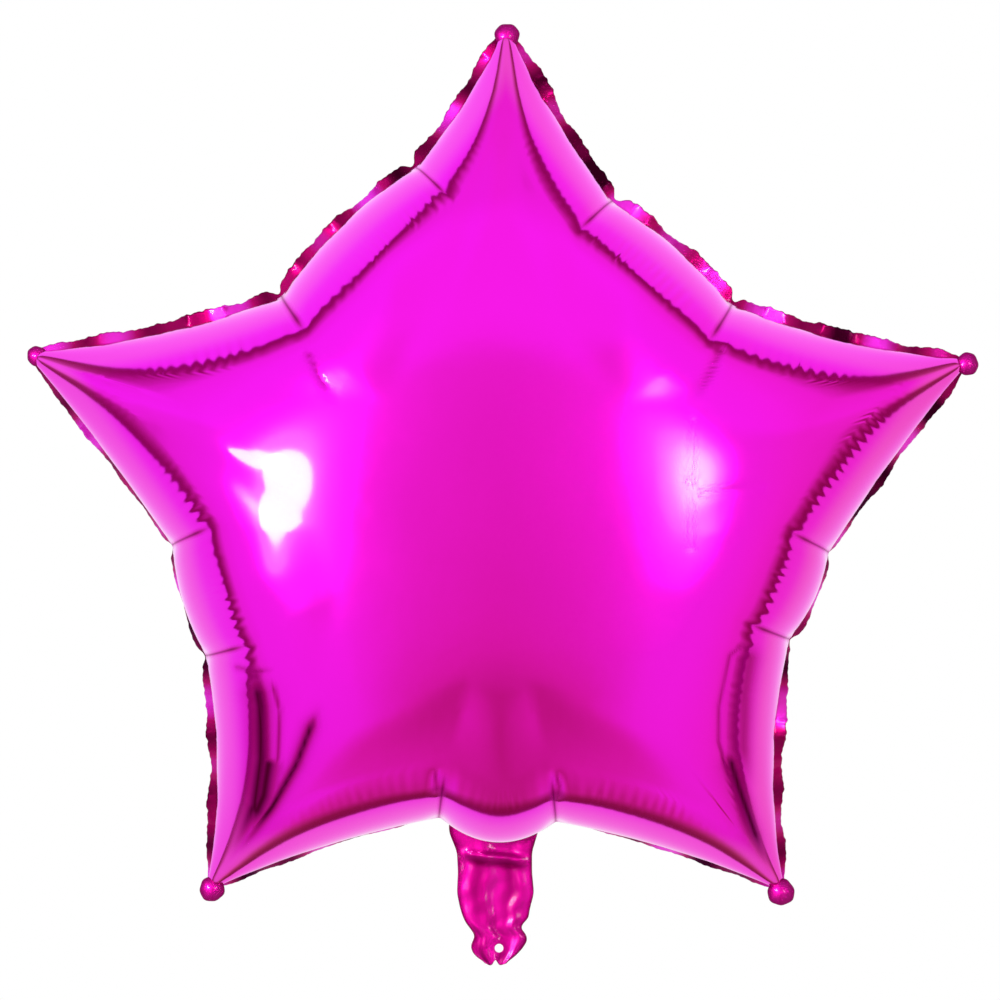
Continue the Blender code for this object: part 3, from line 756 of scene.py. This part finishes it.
def point_lobes():
    """The little round ends that the seal leaves on the points, crinkled as their film bunches,
    with painted shade toward their rims.
    """
    lobes = []
    for number, (pixel, radius) in enumerate(LOBES):
        deselect()
        centre = seen(pixel)
        size = radius * PIXEL
        bpy.ops.mesh.primitive_uv_sphere_add(segments=48, ring_count=28, radius=size)
        lobe = bpy.context.object
        bpy.ops.object.mode_set(mode="EDIT")
        bpy.ops.mesh.select_all(action="SELECT")
        bpy.ops.transform.resize(value=(1.0, LOBE_FLATNESS, 1.0))
        bpy.ops.object.mode_set(mode="OBJECT")
        places = coordinates(lobe)
        x, y, z = places.T / size
        turn = np.arctan2(z, x)
        crinkle = 0.03 * np.sin(3 * turn + 3 * y + number)
        crinkle += 0.02 * np.sin(7 * turn - 2 * y + 2 * number)
        rim = 1 - np.clip(np.abs(y) / LOBE_FLATNESS, 0, 1) ** 2
        places *= (1 + crinkle * rim)[:, None]
        places += np.array([centre[0], 0, CENTRE_HEIGHT + centre[1]])
        set_coordinates(lobe, places)
        # Painted shade, darker toward each lobe's rim
        keep_numbers(lobe, "painted_darkness", 0.2 + 0.75 * rim ** 4)
        bpy.ops.object.shade_smooth()
        lobes.append(lobe)
    select_only(*lobes)
    bpy.ops.object.join()
    joined = bpy.context.object
    joined.name = "point_lobes"
    joined.data.name = "point_lobes"
    bpy.ops.object.transform_apply(location=True, rotation=True, scale=True)
    return joined


def neck_tail():
    """The flat filling neck: two films in one, crinkled lengthways, with a tuck across it under the
    rim, a scalloped end and the tie hole punched through. Its colour has streaks of painted shade
    along the crinkles, a painted shadow under the tuck and painted shade at its sides."""
    tail, across, up = strip("tail", TAIL_COLUMNS, TAIL_ROWS)
    rows, lefts, rights = np.array(TAIL_EDGES, float).T
    row = rows[-1] + (rows[0] - rows[-1]) * up
    near = [row + shift for shift in TAIL_ROUNDING]
    left = sum(np.interp(place, rows, lefts) for place in near) / len(near)
    right = sum(np.interp(place, rows, rights) for place in near) / len(near)
    side = 2 * across - 1
    end = np.clip(1 - up * 9, 0, 1) ** 2
    row = row - 6.0 * end * (np.exp(-(side * 4) ** 2) + 0.5 * side ** 2)
    column = left + (right - left) * across
    x = (column - CENTRE_PIXEL[0]) * PIXEL
    height = CENTRE_HEIGHT + (CENTRE_PIXEL[1] - row) * PIXEL
    hole_x = (TIE_HOLE_COLUMN - CENTRE_PIXEL[0]) * PIXEL
    flat = smooth_step(np.hypot(x - hole_x, height), TIE_HOLE_RADIUS, 3.5 * TIE_HOLE_RADIUS)
    lean = side + 0.10 * np.sin(height * 110) + 0.04 * np.sin(height * 330 + 3 * side)
    folds = 0.0004 * np.sin(2 * math.pi * 0.9 * lean + 0.4)
    folds += 0.00013 * np.sin(2 * math.pi * 2.3 * lean + height * 60)
    cross = 0.00014 * np.sin(height * 260 + 4 * side) + 0.00004 * np.sin(height * 690 - 6 * side)
    tuck = np.exp(-((row - TUCK_ROW - 4 * side) / 4.5) ** 2)
    tuck *= smooth_step(1 - np.abs(side), 0.0, 0.5)
    shown = smooth_step(row, 836, 850)
    forward = (folds + cross) * (0.25 + 0.75 * flat) * shown - 0.0012 * tuck
    set_coordinates(tail, np.column_stack([x, forward, height]))
    # Painted shade: streaks running with the crinkles, a painted shadow under the tuck, darker
    # sides
    painted_shadow_under_tuck = np.exp(-((row - TUCK_ROW - 7 - 4 * side) / 4.0) ** 2)
    shade = 0.48 + 0.25 * np.sin(2 * math.pi * 1.1 * lean + 60 * height) * np.sin(90 * height + 2)
    shade += 0.45 * painted_shadow_under_tuck * smooth_step(1 - np.abs(side - 0.1), 0.1, 0.5)
    shade += 0.5 * (1 - smooth_step(1 - np.abs(side), 0.0, 0.15))
    keep_numbers(tail, "painted_darkness", np.clip(shade, 0, 1))
    give_thickness(tail, TAIL_THICKNESS)
    deselect()
    bpy.ops.mesh.primitive_cylinder_add(vertices=48, radius=TIE_HOLE_RADIUS, depth=0.02,
                                        location=(hole_x, 0, 0), rotation=(math.pi / 2, 0, 0))
    punch = bpy.context.object
    select_only(tail)
    cut = tail.modifiers.new("tie_hole", "BOOLEAN")
    cut.operation = "DIFFERENCE"
    cut.object = punch
    bpy.ops.object.modifier_apply(modifier=cut.name)
    bpy.data.objects.remove(punch)
    return tail


class Value:
    """A socket that takes part in arithmetic, and adds a Math node for each step."""

    def __init__(self, shader, socket):
        self.shader = shader
        self.socket = socket

    def _math(self, operation, first, second=0.0):
        node = self.shader.add("ShaderNodeMath", dict(operation=operation), {0: first, 1: second})
        return Value(self.shader, node.outputs[0])

    def __add__(self, other):
        return self._math("ADD", self, other)

    def __radd__(self, other):
        return self._math("ADD", other, self)

    def __sub__(self, other):
        return self._math("SUBTRACT", self, other)

    def __rsub__(self, other):
        return self._math("SUBTRACT", other, self)

    def __mul__(self, other):
        return self._math("MULTIPLY", self, other)

    def __truediv__(self, other):
        return self._math("DIVIDE", self, other)

    def clamped(self):
        return self.shader.value("ShaderNodeClamp", {}, {0: self})


class Shader:
    """The node tree of a material or of the world."""

    def __init__(self, owner):
        owner.use_nodes = True
        self.tree = owner.node_tree
        self.tree.nodes.clear()

    def add(self, kind, settings=None, inputs=None):
        node = self.tree.nodes.new(kind)
        for name, value in (settings or {}).items():
            if name == "stops":
                set_stops(node.color_ramp, value)
            else:
                setattr(node, name, value)
        for name, value in (inputs or {}).items():
            value = value.socket if isinstance(value, Value) else value
            if isinstance(value, bpy.types.NodeSocket):
                self.tree.links.new(value, node.inputs[name])
            else:
                node.inputs[name].default_value = value
        return node

    def value(self, kind, settings=None, inputs=None, output=0):
        return Value(self, self.add(kind, settings, inputs).outputs[output])

    def ramp(self, along, *stops):
        return self.value("ShaderNodeValToRGB", dict(stops=stops), {0: along})

    def blend(self, kind, first, second):
        return self.value("ShaderNodeMix", dict(data_type="RGBA", blend_type=kind),
                          {0: 1.0, 6: first, 7: second}, output=2)


def set_stops(ramp, stops):
    """A colour ramp's stops: each a place, and a colour or a level of grey."""
    while len(ramp.elements) > 1:
        ramp.elements.remove(ramp.elements[0])
    for number, (place, colour) in enumerate(stops):
        element = ramp.elements[0] if number == 0 else ramp.elements.new(place)
        element.position = place
        colour = (colour, colour, colour) if isinstance(colour, float) else colour
        element.color = (*colour, 1.0)


def fine_crease(shader, place, start, end, width):
    """A line of creased film over the front that's too thin for the mesh: 1 on its line."""
    (left, low), (right, high) = (seen(pixel) for pixel in (start, end))
    run, rise = float(right - left), float(high - low)
    parts = shader.add("ShaderNodeSeparateXYZ", {}, {0: place})
    across = Value(shader, parts.outputs["X"]) - float(left)
    up = Value(shader, parts.outputs["Z"]) - float(CENTRE_HEIGHT + low)
    share = ((across * run + up * rise) / (run ** 2 + rise ** 2)).clamped()
    across, up = across - share * run, up - share * rise
    gap = (across * across + up * up) / width ** 2 + 1.0
    in_front = (Value(shader, parts.outputs["Y"]) * -500.0).clamped()
    return in_front / (gap * gap)


def foil(name, colours, roughness):
    """Metallised film: mirror-like and tinted, paler by the seam. Its three colours are those of
    the plain film, of a part in painted shade and of the darkest painted shade, as in creased film."""
    material = bpy.data.materials.new(name)
    shader = Shader(material)
    place = shader.value("ShaderNodeTexCoord", output="Object")
    # Painted shade, 0 to 1: it darkens the film's colour toward its shaded and darkest colours
    painted_darkness = shader.value("ShaderNodeAttribute", dict(attribute_name="painted_darkness"), output="Fac")
    cloud = shader.value("ShaderNodeTexNoise", {}, {"Vector": place, "Scale": 28.0, "Detail": 3.0})
    grain = shader.value("ShaderNodeTexNoise", {}, {"Vector": place, "Scale": 900.0, "Detail": 2.0})
    waves = shader.value("ShaderNodeTexNoise", {}, {"Vector": place, "Scale": 60.0, "Detail": 2.0})
    height = waves * 0.06 + grain * 0.0012      # in millimetres, as the bump's distance is one
    for start, end, depth, width in FINE_CREASES:
        height = height + fine_crease(shader, place, start, end, width) * depth
    bump = shader.add("ShaderNodeBump", {}, {"Height": height, "Strength": 1.0, "Distance": 0.001})
    border = shader.value("ShaderNodeAttribute", dict(attribute_name="border"), output="Fac")
    plain, shaded, deepest = colours
    film = shader.ramp(painted_darkness, (0.0, plain), (0.5, shaded), (1.0, deepest))
    tint = shader.add("ShaderNodeMix", dict(data_type="RGBA"),
                      {0: border * (1 - painted_darkness), 6: film, 7: (*BORDER_COLOUR, 1.0)})
    # Where shade is painted, the film also loses most of its metal and all of its coat, so it stays
    # dark
    surface = shader.add("ShaderNodeBsdfPrincipled", {}, {
        "Base Color": tint.outputs[2],
        "Metallic": 1 - painted_darkness * 0.8,
        "Roughness": roughness + cloud * 0.05,
        "Specular IOR Level": 0.0,
        "Specular Tint": (*EDGE_TINT, 1.0),
        "Coat Weight": 0.35 - painted_darkness * 0.35,
        "Coat Roughness": 0.06,
        "Coat IOR": 1.35,
        "Normal": bump.outputs["Normal"],
    })
    shader.add("ShaderNodeOutputMaterial", {}, {"Surface": surface.outputs[0]})
    return material


def build_world():
    """A white background, and for the foil's reflections a pale room: white behind the balloon, a
    dark edge where the walls end, and a duskier stretch from the camera down to the floor."""
    world = bpy.data.worlds.new("pale_studio")
    bpy.context.scene.world = world
    shader = Shader(world)
    direction = shader.value("ShaderNodeTexCoord", output="Generated")
    parts = shader.add("ShaderNodeSeparateXYZ", {}, {0: direction})
    side, depth, height = (Value(shader, parts.outputs[axis]) * 0.5 + 0.5 for axis in "XYZ")
    edge = depth - shader.ramp(height, *EDGE_BACK_BY_HEIGHT)
    edge = edge - shader.ramp(height, *EDGE_UPPER_HALF) * shader.ramp(side, *EDGE_BACK_AT_SIDES)
    dusk = shader.ramp(side, *DUSK_ACROSS) * shader.ramp(height, *DUSK_UP)
    dusk = (dusk + shader.ramp(height, *DUSK_LOW)) * shader.ramp(edge, *DUSK_IN_FRONT)
    room = shader.blend("MULTIPLY", shader.ramp(edge, *WALLS), shader.ramp(1 - dusk, *DUSK_COLOURS))
    tint = shader.blend("MULTIPLY", shader.ramp(height, *TINT_UP), shader.ramp(side, *TINT_ACROSS))
    room = shader.blend("MULTIPLY", room, tint)
    for toward, stops in GLOWS:
        near = shader.value("ShaderNodeVectorMath", dict(operation="DOT_PRODUCT"),
                            {0: direction, 1: toward}, output="Value")
        room = shader.blend("ADD", room, shader.ramp(near, *stops))
    path = shader.add("ShaderNodeLightPath")
    colour = shader.add("ShaderNodeMix", dict(data_type="RGBA"),
                        {0: path.outputs["Is Glossy Ray"], 6: (1, 1, 1, 1), 7: room})
    background = shader.add("ShaderNodeBackground", {},
                            {"Color": colour.outputs[2], "Strength": 1.0})
    shader.add("ShaderNodeOutputWorld", {}, {"Surface": background.outputs[0]})


def add_softbox(name, azimuth, elevation, width, height):
    """An oval lamp aimed at the star, placed by its angle from the camera's axis."""
    around, up = math.radians(azimuth), math.radians(elevation)
    centre = np.array([0, 0, CENTRE_HEIGHT])
    level = math.cos(up)
    offset = np.array([math.sin(around) * level, -math.cos(around) * level, math.sin(up)])
    bpy.ops.object.light_add(type="AREA", location=centre + offset * SOFTBOX_DISTANCE)
    lamp = bpy.context.object
    lamp.name = name
    lamp.rotation_euler = (math.pi / 2 - up, 0, around)
    lamp.data.shape = "ELLIPSE"
    lamp.data.size = width
    lamp.data.size_y = height
    lamp.data.energy = SOFTBOX_RADIANCE * math.pi * width * height * math.pi / 4
    lamp.visible_diffuse = False


def build_camera():
    """The camera of the photograph: level, and the frame's middle straight ahead."""
    camera = bpy.data.cameras.new("camera")
    camera.sensor_width = SENSOR_WIDTH
    camera.lens = SENSOR_WIDTH * CAMERA_DISTANCE / (FRAME_PIXELS * PIXEL)
    seat = bpy.data.objects.new("camera", camera)
    middle = seen((FRAME_PIXELS / 2, FRAME_PIXELS / 2))
    seat.location = (middle[0], -CAMERA_DISTANCE, CENTRE_HEIGHT + middle[1])
    seat.rotation_euler = (math.pi / 2, 0, 0)
    bpy.context.scene.collection.objects.link(seat)
    bpy.context.scene.camera = seat


def finish_piece(piece, material):
    piece.data.materials.clear()
    piece.data.materials.append(material)
    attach(piece, "root")
    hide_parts("star_balloon")


deselect()
seam, ends = whole_outline()
ends = row_ends(seam, ends)
bag = blow_up_bag(seam, ends)
neck_foil = foil("crinkled_neck_foil", NECK_COLOURS, NECK_ROUGHNESS)
finish_piece(bag, foil("magenta_foil", BAG_COLOURS, BAG_ROUGHNESS))
finish_piece(seal_flange(seam), foil("sealed_margin_foil", MARGIN_COLOURS, MARGIN_ROUGHNESS))
finish_piece(point_lobes(), neck_foil)
tail = neck_tail()
tail.visible_glossy = False     # the photograph's rim doesn't mirror it
finish_piece(tail, neck_foil)

build_world()
for softbox in SOFTBOXES:
    add_softbox(**softbox)
build_camera()
bpy.context.scene.view_settings.view_transform = "Standard"
